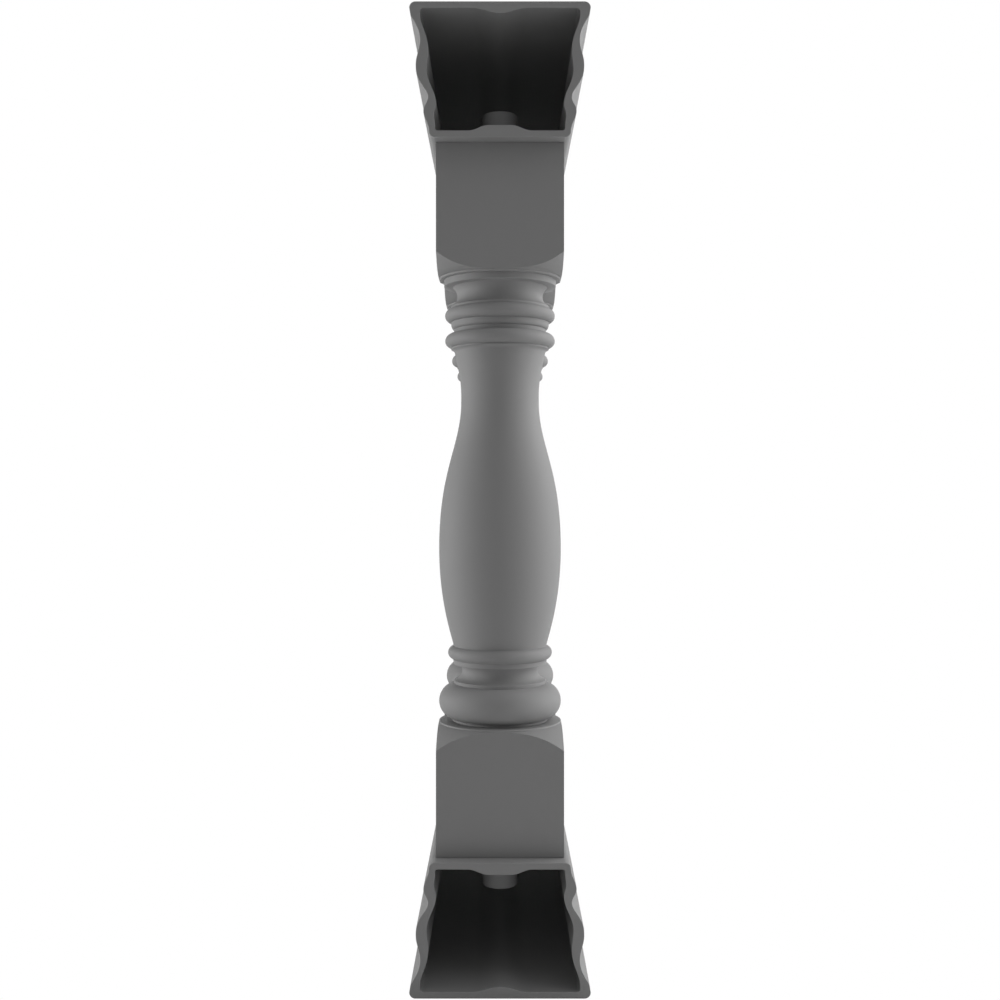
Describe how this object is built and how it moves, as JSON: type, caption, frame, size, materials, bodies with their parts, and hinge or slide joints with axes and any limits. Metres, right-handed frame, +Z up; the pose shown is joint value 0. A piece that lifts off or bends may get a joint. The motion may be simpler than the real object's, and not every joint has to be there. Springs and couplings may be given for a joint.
{
  "type": "balustrade",
  "caption": "Straight balustrade run: square-blocked turned balusters pegged between two hollow moulded rails, open at both ends.",
  "frame": {"origin": "centre of the run at the underside of the lower rail", "axes": "+Y along the rails, +Z up, X across them. The near end of the picture is at -Y"},
  "size_m": [0.1774, 1.0614, 0.9742],
  "materials": {
    "rail": "smooth matte mid-grey moulded compound, very fine grain",
    "baluster": "smooth matte mid-grey moulded compound, very fine grain"
  },
  "bodies": {
    "root": {"top_rail": "rail", "bottom_rail": "rail", "baluster_1": "baluster", "baluster_2": "baluster", "baluster_3": "baluster", "baluster_4": "baluster", "baluster_5": "baluster", "baluster_6": "baluster"}
  },
  "joints": []
}
